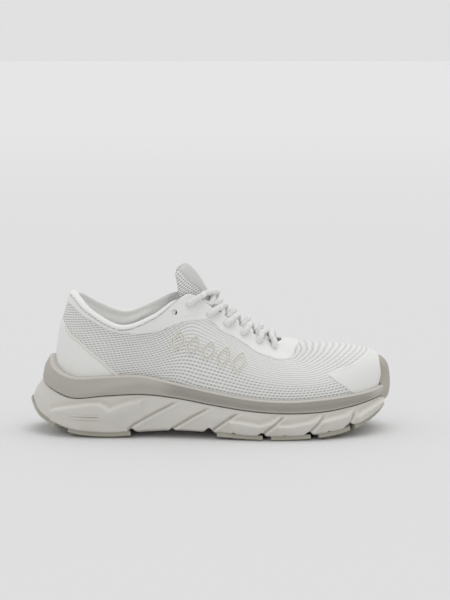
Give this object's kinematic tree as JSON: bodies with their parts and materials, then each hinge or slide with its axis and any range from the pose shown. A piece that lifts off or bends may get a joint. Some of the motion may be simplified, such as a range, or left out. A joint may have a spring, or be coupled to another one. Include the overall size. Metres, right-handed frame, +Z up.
{
  "type": "running shoe",
  "caption": "Low running shoe with a thick two-tone foam sole, knitted mesh upper, smooth overlays, padded collar, tongue and laced front.",
  "frame": {"origin": "on the ground, under the middle of the shoe's bounding box", "axes": "+X towards the toe, +Y towards the medial (inner) side of this right shoe, +Z up"},
  "size_m": [0.2996, 0.106, 0.1385],
  "materials": {
    "midsole_carrier": "matt moulded foam",
    "midsole_rim": "matt moulded foam with a fine diamond texture",
    "heel_rubber_rear": "matt rubber",
    "heel_rubber_lateral": "matt rubber",
    "heel_rubber_medial": "matt rubber",
    "forefoot_rubber_lateral_1": "matt rubber",
    "forefoot_rubber_medial_1": "matt rubber",
    "forefoot_rubber_lateral_2": "matt rubber",
    "forefoot_rubber_medial_2": "matt rubber",
    "forefoot_rubber_lateral_3": "matt rubber",
    "forefoot_rubber_medial_3": "matt rubber",
    "toe_rubber": "matt rubber",
    "toe_bumper": "matt rubber",
    "strobel_board": "stitched board",
    "sockliner": "open-cell foam",
    "mesh_upper": "ribbed knitted mesh",
    "toe_cap": "smooth welded film",
    "toe_puff": "matt",
    "heel_overlay": "smooth welded film",
    "heel_tab": "smooth welded film",
    "heel_counter": "matt",
    "eyestay_overlay": "smooth welded film",
    "eyestay_reinforcement": "matt",
    "collar_foam": "open-cell foam",
    "collar_lining": "brushed knit",
    "collar_roll": "brushed knit",
    "tongue_face": "ribbed knitted mesh",
    "tongue_foam": "open-cell foam",
    "tongue_lining": "brushed knit",
    "tongue_label": "matt patch",
    "shoelace": "round braid",
    "aglet_lateral": "matt",
    "aglet_medial": "matt"
  },
  "bodies": {
    "shoe": {"midsole_carrier": "midsole_carrier", "midsole_rim": "midsole_rim", "heel_rubber_rear": "heel_rubber_rear", "heel_rubber_lateral": "heel_rubber_lateral", "heel_rubber_medial": "heel_rubber_medial", "forefoot_rubber_lateral_1": "forefoot_rubber_lateral_1", "forefoot_rubber_medial_1": "forefoot_rubber_medial_1", "forefoot_rubber_lateral_2": "forefoot_rubber_lateral_2", "forefoot_rubber_medial_2": "forefoot_rubber_medial_2", "forefoot_rubber_lateral_3": "forefoot_rubber_lateral_3", "forefoot_rubber_medial_3": "forefoot_rubber_medial_3", "toe_rubber": "toe_rubber", "toe_bumper": "toe_bumper", "strobel_board": "strobel_board", "mesh_upper": "mesh_upper", "toe_cap": "toe_cap", "toe_puff": "toe_puff", "heel_overlay": "heel_overlay", "heel_tab": "heel_tab", "heel_counter": "heel_counter", "eyestay_overlay": "eyestay_overlay", "eyestay_reinforcement": "eyestay_reinforcement", "collar_foam": "collar_foam", "collar_lining": "collar_lining", "collar_roll": "collar_roll", "shoelace": "shoelace", "aglet_lateral": "aglet_lateral", "aglet_medial": "aglet_medial"},
    "tongue": {"tongue_face": "tongue_face", "tongue_foam": "tongue_foam", "tongue_lining": "tongue_lining", "tongue_label": "tongue_label"},
    "sockliner": {"sockliner": "sockliner"}
  },
  "joints": [
    {"name": "tongue_tilt", "type": "hinge", "parent": "shoe", "child": "tongue", "pos_m": [0.0736, 0, 0.064], "axis": [0, -1, 0], "range_deg": [0, 6]},
    {"name": "sockliner_lift", "type": "hinge", "parent": "shoe", "child": "sockliner", "pos_m": [0.1336, 0, 0.033], "axis": [0, 1, 0], "range_deg": [0, 3]}
  ]
}
